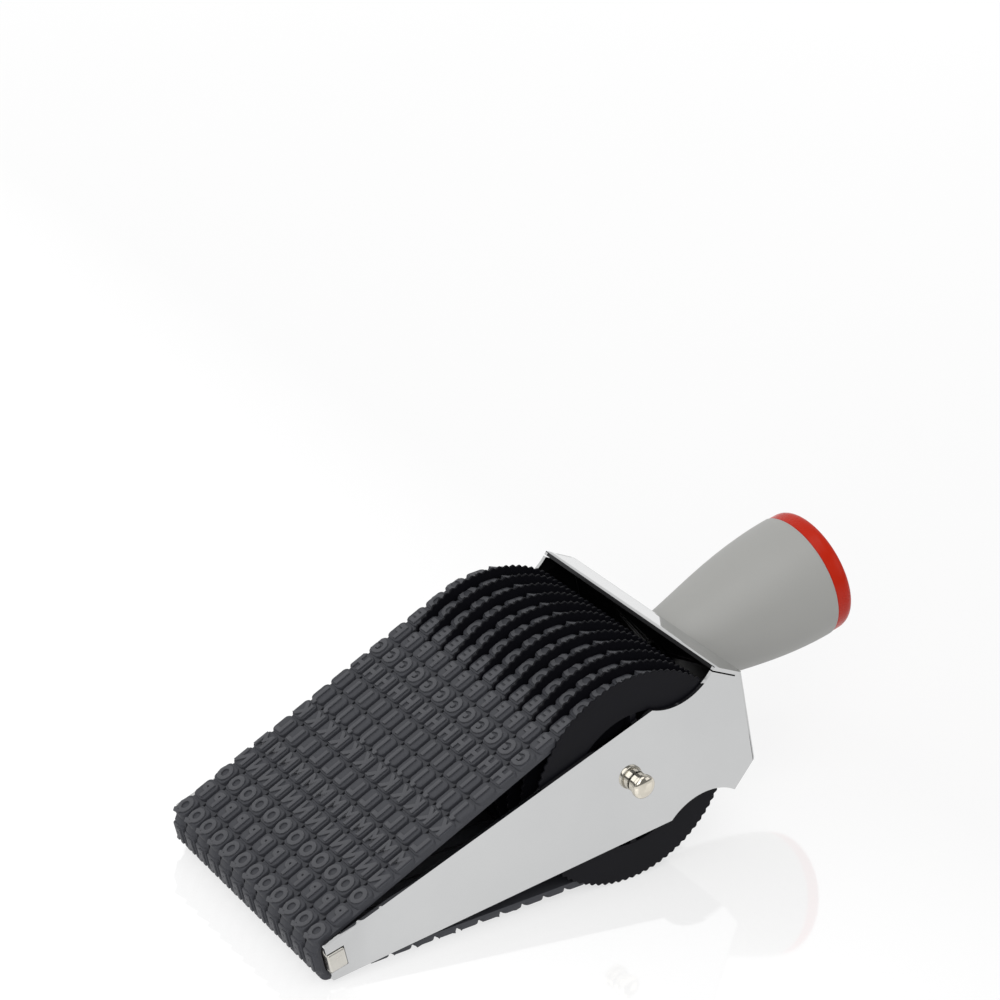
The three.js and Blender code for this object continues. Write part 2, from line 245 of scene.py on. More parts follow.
inner_half_width = outer_half_width - sheet
chord = Vector((shoulder_x - tip_x, shoulder_half_height - tip_half_height))
middle = Vector(((tip_x + shoulder_x) / 2, (tip_half_height + shoulder_half_height) / 2))
rise = math.sqrt(notch_radius ** 2 - (chord.length / 2) ** 2)
notch_centre = middle + Vector((-chord.y, chord.x)).normalized() * rise
notch_start = math.atan2(tip_half_height - notch_centre.y, tip_x - notch_centre.x)
notch_end = math.atan2(shoulder_half_height - notch_centre.y, shoulder_x - notch_centre.x)
notch = arc(notch_centre.x, notch_centre.y, notch_radius, notch_start, notch_end, 40)
upper_edge = [(-arm_reach, nose_half_height, nose_corner), (*notch[0], shoulder_corner)]
upper_edge += [(x, z, 0) for x, z in notch[1:-1]]
upper_edge += [(*notch[-1], shoulder_corner), (rear_x, rear_half_height, rear_corner)]
lower_edge = [(x, -z, radius) for x, z, radius in reversed(upper_edge)]
arm_outline = rounded(upper_edge + lower_edge)

bend_x = rear_x - bend_radius
bend_y = outer_half_width - bend_radius
quarter = math.pi / 2
outside = [(-arm_reach, -outer_half_width)]
outside += arc(bend_x, -bend_y, bend_radius, -quarter, 0, 12)
outside += arc(bend_x, bend_y, bend_radius, 0, quarter, 12)
outside += [(-arm_reach, outer_half_width)]
inside = [(-arm_reach, inner_half_width)]
inside += arc(bend_x, bend_y, bend_radius - sheet, quarter, 0, 12)
inside += arc(bend_x, -bend_y, bend_radius - sheet, 0, -quarter, 12)
inside += [(-arm_reach, -inner_half_width)]
reach_up = shoulder_half_height + overrun
reach_out = outer_half_width + overrun
bracket = prism("bracket_plate", outside + inside, -reach_up, reach_up, True)
carve(bracket, prism("profile", arm_outline, -reach_out, reach_out, False), "INTERSECT")

slope = Vector((rear_x - shoulder_x, rear_half_height - shoulder_half_height))
slope_length = slope.length
slope.normalize()


def shoulder_strip(side, depth_from, depth_to, past, short):
    """A strip along the sloping shoulder, between two depths under its outer face."""
    corners = []
    for run, depth in ((-past, depth_to), (slope_length - short, depth_to),
                       (slope_length - short, depth_from), (-past, depth_from)):
        x = shoulder_x + slope.x * run + slope.y * depth
        corners.append((x, side * (shoulder_half_height + slope.y * run - slope.x * depth)))
    return corners


for side in (1, -1):
    flange = prism("flange", shoulder_strip(side, 0, sheet, 0, 0), -reach_out, reach_out, False)
    carve(flange, prism("plan", outside, -reach_up, reach_up, True), "INTERSECT")
    carve(bracket, flange, "UNION")
slit = shoulder_strip(1, sheet, sheet + slit_gap, overrun, slit_end)
carve(bracket, prism("slit", slit, -reach_out, reach_out, False), "DIFFERENCE")
slot_start = -arm_reach - overrun
slot_stop = lug_slot_depth - arm_reach
slot_outline = [(slot_start, -lug_slot_half_height), (slot_stop, -lug_slot_half_height),
                (slot_stop, lug_slot_half_height), (slot_start, lug_slot_half_height)]
carve(bracket, prism("lug_slot", slot_outline, -reach_out, reach_out, False), "DIFFERENCE")
carve(bracket, pin("axle_hole", axle_hole, -reach_out, reach_out, True), "DIFFERENCE")
screw_cut = pin("screw_cut", screw_hole, rear_x - sheet - overrun, rear_x + overrun, False)
carve(bracket, screw_cut, "DIFFERENCE")
ease_edges(bracket, edge_round)


def node_ways(tree):
    """Short ways to add a node with its settings or input values, and to join two sockets."""
    def add(kind, **settings):
        node = tree.nodes.new(kind)
        for key, value in settings.items():
            if key in node.inputs:
                node.inputs[key].default_value = value
            else:
                setattr(node, key, value)
        return node

    def join(source, target):
        tree.links.new(source, target)

    return add, join


def two_tones(add, join, factor, dark, light):
    """A colour that lies between two tones, as a factor says."""
    tone = add("ShaderNodeMix", data_type="RGBA")
    tone.inputs["A"].default_value = (*dark, 1)
    tone.inputs["B"].default_value = (*light, 1)
    join(factor, tone.inputs["Factor"])
    return tone.outputs["Result"]


def material(name):
    """A new material with its principled shader, and short ways to add and join nodes."""
    made = bpy.data.materials.new(name)
    made.use_nodes = True
    tree = made.node_tree
    return made, tree.nodes["Principled BSDF"], *node_ways(tree)


def group(name, inputs, outputs):
    """A shader group with named number inputs and outputs."""
    tree = bpy.data.node_groups.new(name, "ShaderNodeTree")
    for label, kind, value in inputs:
        socket = tree.interface.new_socket(label, in_out="INPUT", socket_type=kind)
        if value is not None:
            socket.default_value = value
    for label, kind in outputs:
        tree.interface.new_socket(label, in_out="OUTPUT", socket_type=kind)
    way_in = tree.nodes.new("NodeGroupInput")
    way_out = tree.nodes.new("NodeGroupOutput")
    return tree, way_in, way_out, *node_ways(tree)


# Finger smears and fine rubbing marks that polished metal and glossy plastic pick up in use.
number = "NodeSocketFloat"
handled, way_in, way_out, add, join = group(
    "handling_marks",
    [("Smear size", number, 90.0), ("Scratch size", number, 900.0),
     ("Smears", number, 0.5), ("Scratches", number, 0.5)],
    [("Roughness added", number), ("Height", number)])
spot = add("ShaderNodeTexCoord")
smears = add("ShaderNodeTexNoise", Detail=5.0, Roughness=0.62, Distortion=0.6)
join(spot.outputs["Object"], smears.inputs["Vector"])
join(way_in.outputs["Smear size"], smears.inputs["Scale"])
smear_edge = add("ShaderNodeMapRange", **{"From Min": 0.47, "From Max": 0.75})
join(smears.outputs["Fac"], smear_edge.inputs["Value"])
stretch = add("ShaderNodeMapping", Scale=(0.06, 1.0, 1.0))
join(spot.outputs["Object"], stretch.inputs["Vector"])
scratches = add("ShaderNodeTexNoise", Detail=3.0, Roughness=0.7)
join(stretch.outputs["Vector"], scratches.inputs["Vector"])
join(way_in.outputs["Scratch size"], scratches.inputs["Scale"])
scratch_edge = add("ShaderNodeMapRange", **{"From Min": 0.58, "From Max": 0.72})
join(scratches.outputs["Fac"], scratch_edge.inputs["Value"])
smear_part = add("ShaderNodeMath", operation="MULTIPLY")
join(smear_edge.outputs["Result"], smear_part.inputs[0])
join(way_in.outputs["Smears"], smear_part.inputs[1])
scratch_part = add("ShaderNodeMath", operation="MULTIPLY")
join(scratch_edge.outputs["Result"], scratch_part.inputs[0])
join(way_in.outputs["Scratches"], scratch_part.inputs[1])
both = add("ShaderNodeMath", operation="ADD")
join(smear_part.outputs["Value"], both.inputs[0])
join(scratch_part.outputs["Value"], both.inputs[1])
join(both.outputs["Value"], way_out.inputs["Roughness added"])
join(scratch_part.outputs["Value"], way_out.inputs["Height"])

# The faces on the inside of the sheet are marked for painted shade: they get a near-black colour and more
# roughness, in place of the dark reflection of the wheels that they face.
shaded_inner_face = bracket.data.attributes.new("shaded_inner_face", "FLOAT", "FACE")
for polygon in bracket.data.polygons:
    inward = -polygon.center.dot(polygon.normal) / mm
    level = abs(polygon.normal.y) < 0.9 or abs(polygon.center.y) < (inner_half_width + sheet / 2) * mm
    shaded_inner_face.data[polygon.index].value = 1 if inward > inner_shade_reach and level else 0

chrome, shader, add, join = material("polished_chrome")
shader.inputs["Metallic"].default_value = 1.0
marks = add("ShaderNodeGroup", node_tree=handled)
marks.inputs["Smears"].default_value = 0.05
marks.inputs["Scratches"].default_value = 0.02
gloss = add("ShaderNodeMath", operation="ADD")
gloss.inputs[1].default_value = 0.05
join(marks.outputs["Roughness added"], gloss.inputs[0])
duller = add("ShaderNodeMath", operation="MULTIPLY_ADD")
duller.inputs[1].default_value = 0.35
join(gloss.outputs["Value"], duller.inputs[2])
join(duller.outputs["Value"], shader.inputs["Roughness"])
spot = add("ShaderNodeTexCoord")
cloud = add("ShaderNodeTexNoise", Scale=35.0, Detail=3.0)
join(spot.outputs["Object"], cloud.inputs["Vector"])
plating = two_tones(add, join, cloud.outputs["Fac"], (0.60, 0.605, 0.61), (0.66, 0.665, 0.665))
# Painted shade: the marked inner faces are mixed to a near-black colour instead of the plating's tone.
inner_shade_mask = add("ShaderNodeAttribute", attribute_name="shaded_inner_face")
painted_inner_shade = add("ShaderNodeMix", data_type="RGBA")
painted_inner_shade.inputs["B"].default_value = (0.05, 0.05, 0.052, 1)
join(plating, painted_inner_shade.inputs["A"])
join(inner_shade_mask.outputs["Fac"], painted_inner_shade.inputs["Factor"])
join(painted_inner_shade.outputs["Result"], shader.inputs["Base Color"])
join(inner_shade_mask.outputs["Fac"], duller.inputs[0])
ripple = add("ShaderNodeTexNoise", Scale=60.0, Detail=2.0)
join(spot.outputs["Object"], ripple.inputs["Vector"])
wave = add("ShaderNodeBump", Strength=0.05, Distance=0.0003)
join(ripple.outputs["Fac"], wave.inputs["Height"])
scores = add("ShaderNodeBump", Strength=0.08, Distance=0.00002)
join(marks.outputs["Height"], scores.inputs["Height"])
join(wave.outputs["Normal"], scores.inputs["Normal"])
join(scores.outputs["Normal"], shader.inputs["Normal"])
fit(bracket, chrome, "stamp_frame", "bracket", "bracket")

# Nose bar. A ground steel bar with rounded corners that the bands run round. A lug at each end is
# pushed into the slot at the tip of an arm and peened there, a little proud of the sheet.
bar_depth = 6.0
bar_flat_half_height = 2.6
bar_corner_radius = 1.5
run_gap = 0.3
drum_radius = 24.5
lug_depth = 4.85
lug_low = -2.85
lug_high = 2.5
lug_proud = 0.3
lug_round = 0.5
bar_round = 0.3
band_inner = drum_radius + run_gap
loop_corner = bar_corner_radius + run_gap
loop_corner_x = arm_reach + run_gap - loop_corner
corner_distance = math.hypot(loop_corner_x, bar_flat_half_height)
radius_drop = band_inner - loop_corner
run_slope = math.asin(radius_drop / corner_distance) - math.atan2(bar_flat_half_height, loop_corner_x)

back_x = bar_depth - arm_reach
back_z = (drum_radius + back_x * math.sin(run_slope)) / math.cos(run_slope)
bar_corner = arc(bar_corner_radius - arm_reach, bar_flat_half_height, bar_corner_radius,
                 math.pi, quarter + run_slope, 10)
bar_top = bar_corner + [(back_x, back_z)]
bar_outline = bar_top + [(x, -z) for x, z in reversed(bar_top)]
bar_half = inner_half_width - run_gap
nose_bar = prism("nose_bar_ground", bar_outline, -bar_half, bar_half, False)
lug_outline = [(-arm_reach, lug_low), (lug_depth - arm_reach, lug_low),
               (lug_depth - arm_reach, lug_high), (-arm_reach, lug_high)]
lug_end = outer_half_width + lug_proud
lugs = prism("lugs", lug_outline, -lug_end, lug_end, False)
ease_edges(lugs, lug_round, segments=6)
ease_edges(nose_bar, bar_round)
carve(nose_bar, lugs, "UNION")
smooth(nose_bar, 30)

# Turning and grinding lines on small steel parts, with the faint clouds of their thin plating.
ground, way_in, way_out, add, join = group(
    "tool_lines", [("Line size", number, 1400.0), ("Depth", number, 0.5)],
    [("Tone", number), ("Height", number)])
spot = add("ShaderNodeTexCoord")
squeeze = add("ShaderNodeMapping", Scale=(1.0, 0.08, 1.0))
join(spot.outputs["Object"], squeeze.inputs["Vector"])
lines = add("ShaderNodeTexNoise", Detail=4.0, Roughness=0.65)
join(squeeze.outputs["Vector"], lines.inputs["Vector"])
join(way_in.outputs["Line size"], lines.inputs["Scale"])
deep = add("ShaderNodeMath", operation="MULTIPLY")
join(lines.outputs["Fac"], deep.inputs[0])
join(way_in.outputs["Depth"], deep.inputs[1])
join(deep.outputs["Value"], way_out.inputs["Height"])
clouds = add("ShaderNodeTexNoise", Scale=320.0, Detail=3.0)
join(spot.outputs["Object"], clouds.inputs["Vector"])
join(clouds.outputs["Fac"], way_out.inputs["Tone"])


def plated(name, dull, bright, roughness, line_depth):
    """Plated steel between two tones, with tool lines of some depth."""
    made, shader, add, join = material(name)
    shader.inputs["Metallic"].default_value = 1.0
    work = add("ShaderNodeGroup", node_tree=ground)
    work.inputs["Depth"].default_value = line_depth
    join(two_tones(add, join, work.outputs["Tone"], dull, bright), shader.inputs["Base Color"])
    rough = add("ShaderNodeMapRange", **{"To Min": roughness * 0.7, "To Max": roughness * 1.3})
    join(work.outputs["Tone"], rough.inputs["Value"])
    join(rough.outputs["Result"], shader.inputs["Roughness"])
    relief = add("ShaderNodeBump", Strength=0.3, Distance=0.00003)
    join(work.outputs["Height"], relief.inputs["Height"])
    join(relief.outputs["Normal"], shader.inputs["Normal"])
    return made


bar_steel = plated("ground_steel", (0.60, 0.58, 0.53), (0.74, 0.72, 0.67), 0.3, 0.8)
fit(nose_bar, bar_steel, "stamp_frame", "nose_bar", "nose_bar")

# Axle. A drawn steel rod with a chamfer and a short thread at each end, on which the wheels turn.
axle_radius = 2.0
axle_half = axle_high.y / mm
axle_chamfer = 0.4
thread_length = 3.2
thread_pitch = 0.7
thread_depth = 0.3


def turned(name, profile, sides, across=True, flip=False):
    """A round piece turned on a lathe, from a profile of radii and places along its axis."""
    shape = bmesh.new()
    way = -1 if flip else 1
    skin(shape, [circle(shape, radius, along * way, sides, across) for radius, along in profile])
    bmesh.ops.remove_doubles(shape, verts=shape.verts, dist=0.0001 * mm)
    bmesh.ops.recalc_face_normals(shape, faces=shape.faces)
    piece = piece_of(name, shape)
    smooth(piece)
    return piece


def threaded(radius, start, end, pitch, depth):
    """The profile of a thread, drawn as fine grooves."""
    points = []
    at = start
    while at + pitch <= end + 0.001:
        points += [(radius, at), (radius, at + pitch * 0.3), (radius - depth, at + pitch * 0.65)]
        at += pitch
    points.append((radius, end))
    return points


half_rod = [(0, axle_half), (axle_radius - axle_chamfer, axle_half), (axle_radius, axle_half - axle_chamfer)]
half_rod += list(reversed(threaded(axle_radius, axle_half - thread_length, axle_half - axle_chamfer,
                                   thread_pitch, thread_depth)))
rod = half_rod + [(radius, -at) for radius, at in reversed(half_rod)]
axle = turned("axle_rod", rod, 40)
axle_steel = plated("drawn_steel", (0.52, 0.51, 0.48), (0.66, 0.65, 0.61), 0.28, 1.0)
fit(axle, axle_steel, "stamp_frame", "axle", "axle")

# Axle nuts. Small round cap nuts in bright nickel, screwed on the ends of the axle. A slim collar
# stands against the arm, and a wider head with a domed end stands in front of it.
nut_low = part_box("axle_nut_far")[0].y / mm
nut_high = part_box("axle_nut_far")[1].y / mm
nut_radius = 3.2
nut_bore = 2.3
nut_wall = 1.4
collar_radius = 2.75
collar_edge = 0.15
head_share = 0.42
head_edge = 0.35
crown_share = 0.66

nut_length = nut_high - nut_low
head_start = nut_low + nut_length * head_share
crown_start = nut_low + nut_length * crown_share
nut_profile = [(0, nut_high - nut_wall), (nut_bore, nut_high - nut_wall), (nut_bore, nut_low),
               (collar_radius - collar_edge, nut_low), (collar_radius, nut_low + collar_edge),
               (collar_radius, head_start)]
for step in range(7):
    angle = quarter * step / 6
    nut_profile.append((nut_radius - head_edge * (1 - math.sin(angle)),
                        head_start + head_edge * (1 - math.cos(angle))))
for step in range(17):
    angle = quarter * step / 16
    nut_profile.append((nut_radius * math.cos(angle),
                        crown_start + (nut_high - crown_start) * math.sin(angle)))
nickel = plated("bright_nickel", (0.72, 0.67, 0.57), (0.86, 0.81, 0.71), 0.09, 0.15)
for name, node, flip in (("axle_nut_near_turned", "axle_nut_near", True),
                         ("axle_nut_far_turned", "axle_nut_far", False)):
    fit(turned(name, nut_profile, 72, flip=flip), nickel, "stamp_frame", "nuts", node)

# Wheels. Twelve moulded black plastic wheels, one for each band. A thin rim disc with fine finger
# teeth stands over a drum that grips the band, and the near side is hollowed out round a hub with
# ribs to save plastic.
unit_count = 12
unit_pitch = 5.85
stack_half = unit_count * unit_pitch / 2
rim_radius = 29.8
rim_thickness = 0.6
tooth_count = 86
tooth_depth = 0.55
rim_edge = 0.12
drum_width = unit_pitch - run_gap
recess_radius = 19.0
recess_depth = 2.6
hub_radius = 5.5
hub_edge = 0.3
wheel_bore = 2.3
rib_count = 6
rib_width = 1.7
rib_angle = math.radians(80)
steps_per_tooth = 6


def toothed(angle):
    """How far a finger tooth stands back from the rim's full radius."""
    wave = 0.5 + 0.5 * math.cos(angle * tooth_count)
    return tooth_depth * (1 - wave ** 0.8)


wheel_shape = bmesh.new()
wheel_profile = [
    (wheel_bore, 0, False), (hub_radius - hub_edge, 0, False), (hub_radius, hub_edge, False),
    (hub_radius, recess_depth, False), (recess_radius, recess_depth, False),
    (recess_radius, rim_edge, False), (recess_radius + rim_edge, 0, False),
    (rim_radius - rim_edge, 0, True), (rim_radius, rim_edge, True),
    (rim_radius, rim_thickness - rim_edge, True), (rim_radius - rim_edge, rim_thickness, True),
    (drum_radius, rim_thickness, False), (drum_radius, drum_width - rim_edge, False),
    (drum_radius - rim_edge, drum_width, False), (wheel_bore, drum_width, False),
]
wheel_sides = tooth_count * steps_per_tooth
rings = []
for radius, along, has_teeth in wheel_profile:
    ring = []
    for side in range(wheel_sides):
        angle = 2 * math.pi * side / wheel_sides
        reach = radius - (toothed(angle) if has_teeth else 0)
        point = Vector((reach * math.cos(angle), along, reach * math.sin(angle)))
        ring.append(wheel_shape.verts.new(point * mm))
    rings.append(ring)
rings.append(rings[0])
skin(wheel_shape, rings)
bmesh.ops.recalc_face_normals(wheel_shape, faces=wheel_shape.faces)
wheel_master = piece_of("wheel_master", wheel_shape)
for rib in range(rib_count):
    angle = rib_angle + 2 * math.pi * rib / rib_count
    way = Vector((math.cos(angle), math.sin(angle)))
    side_way = Vector((-way.y, way.x)) * rib_width / 2
    inner, outer = way * (hub_radius - hub_edge), way * (recess_radius + rim_edge)
    rib_outline = [tuple(inner - side_way), tuple(outer - side_way),
                   tuple(outer + side_way), tuple(inner + side_way)]
    carve(wheel_master, prism("rib", rib_outline, rim_edge, recess_depth + rim_edge, False), "UNION")
smooth(wheel_master, 40)
wheel_master.data.transform(Matrix.Rotation(-tilt, 4, "Y"))

black_plastic, shader, add, join = material("black_wheel_plastic")
spot = add("ShaderNodeTexCoord")
grain = add("ShaderNodeTexNoise", Scale=2600.0, Detail=2.0)
join(spot.outputs["Object"], grain.inputs["Vector"])
dusty = add("ShaderNodeTexNoise", Scale=140.0, Detail=4.0)
join(spot.outputs["Object"], dusty.inputs["Vector"])
tone = two_tones(add, join, dusty.outputs["Fac"], (0.005, 0.005, 0.0068), (0.009, 0.009, 0.0125))
join(tone, shader.inputs["Base Color"])
rough = add("ShaderNodeMapRange", **{"To Min": 0.38, "To Max": 0.52})
join(dusty.outputs["Fac"], rough.inputs["Value"])
join(rough.outputs["Result"], shader.inputs["Roughness"])
shader.inputs["Specular IOR Level"].default_value = 0.1
relief = add("ShaderNodeBump", Strength=0.12, Distance=0.00003)
join(grain.outputs["Fac"], relief.inputs["Height"])
join(relief.outputs["Normal"], shader.inputs["Normal"])
for unit in range(1, unit_count + 1):
    wheel = bpy.data.objects.new(f"wheel_{unit:02d}_toothed", wheel_master.data)
    bpy.context.scene.collection.objects.link(wheel)
    at = Matrix.Translation(axle_centre + Vector((0, (stack_half - unit * unit_pitch) * mm, 0)))
    fit(wheel, black_plastic, f"wheel_{unit:02d}", "wheels", f"number_wheel_{unit:02d}", place=at)
bpy.data.objects.remove(wheel_master)

# Type bands. Twelve endless bands of dark grey rubber, moulded in one piece with a row of pads,
# one pad for each character. The characters stand up on the pads as mirrored type, with round
# edges, and read along the band from the wheels to the nose.
band_base = 0.9
pad_height = 1.35
type_height = 0.45
pad_count = 43
pad_gap = 0.15
pad_corner = 1.5
pad_slope = 0.14
pad_round = 0.35
pad_face_inset = 1.0
pad_face_wear_and_shade = 0.25
pad_sink = 0.4
band_width = 5.15
web_height = 1.05
web_inset = 1.2
type_cap_height = 4.2
type_font_share = 0.72
type_squeeze = 0.88
type_widest = 4.4
type_slope = 0.18
type_sink = 0.2
type_weight = 0.16
band_middle = rim_thickness + run_gap + (unit_pitch - rim_thickness - run_gap * 2) / 2
signs = "-./,+:&"
letters = "RQPONMLKJIHGFEDCBA" + "9876543210" + signs + "ZYXWVUTS"

neutral = band_base / 2
run_length = math.sqrt(corner_distance ** 2 - radius_drop ** 2)
corner_sweep = quarter - run_slope
corner_length = (loop_corner + neutral) * corner_sweep
drum_sweep = quarter + run_slope
drum_length = (band_inner + neutral) * drum_sweep
half_length = bar_flat_half_height + corner_length + run_length + drum_length
pad_pitch = 2 * half_length / pad_count


def on_band(length, height):
    """The place in X and Z at a length along the band from the nose and a height over its inner face."""
    whole = 2 * half_length
    length = (length + half_length) % whole - half_length
    side = 1 if length >= 0 else -1
    rest = abs(length)
    if rest <= bar_flat_half_height:
        return -arm_reach - run_gap - height, side * rest
    rest -= bar_flat_half_height
    if rest <= corner_length:
        angle = math.pi - corner_sweep * rest / corner_length
        reach = loop_corner + height
        return (-loop_corner_x + reach * math.cos(angle),
                side * (bar_flat_half_height + reach * math.sin(angle)))
    rest -= corner_length
    reach = band_inner + height
    if rest <= run_length:
        back = run_length - rest
        x = -reach * math.sin(run_slope) - back * math.cos(run_slope)
        return x, side * (reach * math.cos(run_slope) - back * math.sin(run_slope))
    angle = drum_sweep * (1 - (rest - run_length) / drum_length)
    return reach * math.cos(angle), side * reach * math.sin(angle)


band_shape = bmesh.new()
# Each point carries a level that lifts the rubber's tone: full on the type's tops, less on the pad faces and
# none in the ground between. It is partly wear on the printing faces and partly painted shade, darker lower
# down.
wear_and_shade_face = band_shape.verts.layers.float.new("wear_and_shade_face")
half_band = band_width / 2
steps_per_pad = 4
belt_steps = pad_count * steps_per_pad
rings = []
for station in range(belt_steps):
    ring = []
    web = half_band - web_inset
    for y, height in ((-half_band, 0), (-half_band, band_base), (-web, band_base + web_height),
                      (web, band_base + web_height), (half_band, band_base), (half_band, 0)):
        x, z = on_band(station * pad_pitch / steps_per_pad, height)
        ring.append(band_shape.verts.new(Vector((x, y, z)) * mm))
    rings.append(ring)
skin(band_shape, rings + rings[:1])


def on_pad(centre, along, across, height):
    """A point of the stiff pad whose middle lies at a length along the band."""
    foot = Vector(on_band(centre, 0))
    up = Vector(on_band(centre, 1)) - foot
    place = foot + up * height + Vector((up.y, -up.x)) * along
    return Vector((place.x, across, place.y)) * mm


def pad_ring(centre, inset, height, face_wear_and_shade=0.0):
    """A ring round one pad, as points on its far side and then as their mirror images."""
    corner = pad_corner - inset
    reach = (pad_pitch - pad_gap) / 2 - inset - corner
    side = half_band - inset - corner
    outline = arc(-reach, side, corner, math.pi, quarter, 5) + arc(reach, side, corner, quarter, 0, 5)
    outline += [(length, -y) for length, y in reversed(outline)]
    ring = [band_shape.verts.new(on_pad(centre, length, y, height)) for length, y in outline]
    for vert in ring:
        vert[wear_and_shade_face] = face_wear_and_shade
    return ring


pad_end = band_base + pad_height
for pad in range(pad_count):
    centre = pad * pad_pitch
    rings = [pad_ring(centre, 0, band_base - pad_sink), pad_ring(centre, pad_slope, pad_end - pad_round)]
    for step in range(1, 4):
        angle = quarter * step / 3
        rings.append(pad_ring(centre, pad_slope + pad_round * (1 - math.cos(angle)),
                              pad_end - pad_round * (1 - math.sin(angle))))
    rings.append(pad_ring(centre, pad_face_inset, pad_end, pad_face_wear_and_shade))
    count = len(rings[0])
    skin(band_shape, rings)
    for ring in (rings[0], rings[-1]):
        for place in range(count // 2 - 1):
            band_shape.faces.new((ring[place], ring[place + 1],
                                  ring[count - 2 - place], ring[count - 1 - place]))
bmesh.ops.recalc_face_normals(band_shape, faces=band_shape.faces)


def raised_type(letter):
    """One character as points across the band, along it and above its pad, with its faces."""
    words = bpy.data.curves.new("type", "FONT")
    words.body = letter
    words.size = type_cap_height / type_font_share
    words.align_x = "CENTER"
    words.extrude = type_height / 2
    words.bevel_depth = type_slope
    words.bevel_resolution = 1
    words.offset = type_weight
    words.resolution_u = 3
    holder = bpy.data.objects.new("type", words)
    bpy.context.scene.collection.objects.link(holder)
    bpy.context.view_layer.update()
    mesh = bpy.data.meshes.new_from_object(holder.evaluated_get(bpy.context.evaluated_depsgraph_get()))
    points = [vertex.co.copy() for vertex in mesh.vertices]
    faces = [tuple(polygon.vertices) for polygon in mesh.polygons]
    bpy.data.objects.remove(holder)
    bpy.data.meshes.remove(mesh)
    return points, faces


for pad, letter in enumerate(letters):
    points, faces = raised_type(letter)
    low = min(point.z for point in points)
    high = max(point.z for point in points)
    left, right = min(point.x for point in points), max(point.x for point in points)
    middle_x = (left + right) / 2
    squeeze = min(type_squeeze, type_widest / (right - left))
    verts = []
    for point in points:
        share = (point.z - low) / (high - low)
        height = pad_end - type_sink + (type_height + type_sink) * share
        across = (point.x - middle_x) * squeeze
        vert = band_shape.verts.new(on_pad(pad * pad_pitch, point.y - type_cap_height / 2, across, height))
        vert[wear_and_shade_face] = 1 if height > pad_end + type_height / 2 else pad_face_wear_and_shade
        verts.append(vert)
    for face in faces:
        band_shape.faces.new([verts[corner] for corner in face])
bmesh.ops.remove_doubles(band_shape, verts=band_shape.verts, dist=0.002 * mm)
band_master = piece_of("band_master", band_shape)
band_master.data.shade_smooth()
band_master.data.set_sharp_from_angle(angle=math.radians(40))
band_master.data.transform(Matrix.Rotation(-tilt, 4, "Y"))

rubber, shader, add, join = material("dark_band_rubber")
spot = add("ShaderNodeTexCoord")
bloom = add("ShaderNodeTexNoise", Scale=110.0, Detail=5.0, Roughness=0.6)
join(spot.outputs["Object"], bloom.inputs["Vector"])
tone = two_tones(add, join, bloom.outputs["Fac"], (0.041, 0.043, 0.051), (0.055, 0.057, 0.068))
# Painted shade and wear: the rubber is lighter where the level is high, on the raised faces, and darker in
# the low ground between them.
wear_and_shade = add("ShaderNodeAttribute", attribute_name="wear_and_shade_face")
rubbed_and_shaded = add("ShaderNodeMix", data_type="RGBA")
rubbed_and_shaded.inputs["B"].default_value = (0.086, 0.088, 0.098, 1)
join(tone, rubbed_and_shaded.inputs["A"])
join(wear_and_shade.outputs["Fac"], rubbed_and_shaded.inputs["Factor"])
join(rubbed_and_shaded.outputs["Result"], shader.inputs["Base Color"])
rough = add("ShaderNodeMapRange", **{"To Min": 0.55, "To Max": 0.7})
join(bloom.outputs["Fac"], rough.inputs["Value"])
join(rough.outputs["Result"], shader.inputs["Roughness"])
grain = add("ShaderNodeTexNoise", Scale=3200.0, Detail=3.0)
join(spot.outputs["Object"], grain.inputs["Vector"])
relief = add("ShaderNodeBump", Strength=0.25, Distance=0.00004)
join(grain.outputs["Fac"], relief.inputs["Height"])
join(relief.outputs["Normal"], shader.inputs["Normal"])
for unit in range(1, unit_count + 1):
    band = bpy.data.objects.new(f"band_{unit:02d}_with_type", band_master.data)
    bpy.context.scene.collection.objects.link(band)
    across = (stack_half - unit * unit_pitch + band_middle) * mm
    at = Matrix.Translation(axle_centre + Vector((0, across, 0)))
    fit(band, rubber, "stamp_frame", "bands", f"type_band_{unit:02d}", place=at)
bpy.data.objects.remove(band_master)

# Handle. A hollow grey plastic moulding, open at its head, that swells from a neck at the frame. It
# is round but for one flat for the thumb, which fades out towards the neck. One screw from inside
# the frame runs into a boss on its floor.
handle_start = rear_x + run_gap
handle_length = 45.2
neck_radius = 10.6
head_radius = 17.5
flat_distance = 13.2
flat_start_distance = 11.2
flat_full_share = 0.5
flat_facing = 3.1
flat_sharpness = 12
swell_power = 1.2
handle_wall = 2.4
handle_floor = 4.0
boss_radius = 5.0
boss_length = 24.0
boss_bore = 2.3
boss_bore_depth = 18.0
boss_overlap = 1
foot_ring_insets = (2, 0.3)
foot_round = 0.8
lip_round = 0.35
section_sides = 120
swell_steps = 44


def section(x, radius, flat):
    """A ring round the handle's section at one place along it."""
    ring = []
    for side in range(section_sides):
        angle = 2 * math.pi * side / section_sides
        facing = max(math.cos(angle - flat_facing), 0)
        reach = radius / (1 + (facing / flat) ** flat_sharpness) ** (1 / flat_sharpness)
        ring.append(Vector((x, -reach * math.cos(angle), reach * math.sin(angle))))
    return ring


def lofted(name, rings):
    """Joins rings into one skin, closed at both ends."""
    shape = bmesh.new()
    made = [[shape.verts.new(point * mm) for point in ring] for ring in rings]
    skin(shape, made)
    shape.faces.new(made[0])
    shape.faces.new(made[-1])
    bmesh.ops.recalc_face_normals(shape, faces=shape.faces)
    return piece_of(name, shape)


def radius_at(share):
    return neck_radius + (head_radius - neck_radius) * math.sin(share * math.pi / 2) ** swell_power


def handle_ring(x, inset=0.0):
    share = min(max((x - handle_start) / handle_length, 0), 1)
    grown = min(share / flat_full_share, 1)
    grown = grown * (2 - grown)
    distance = flat_start_distance + (flat_distance - flat_start_distance) * grown
    return section(x, radius_at(share) - inset, distance / radius_at(share))


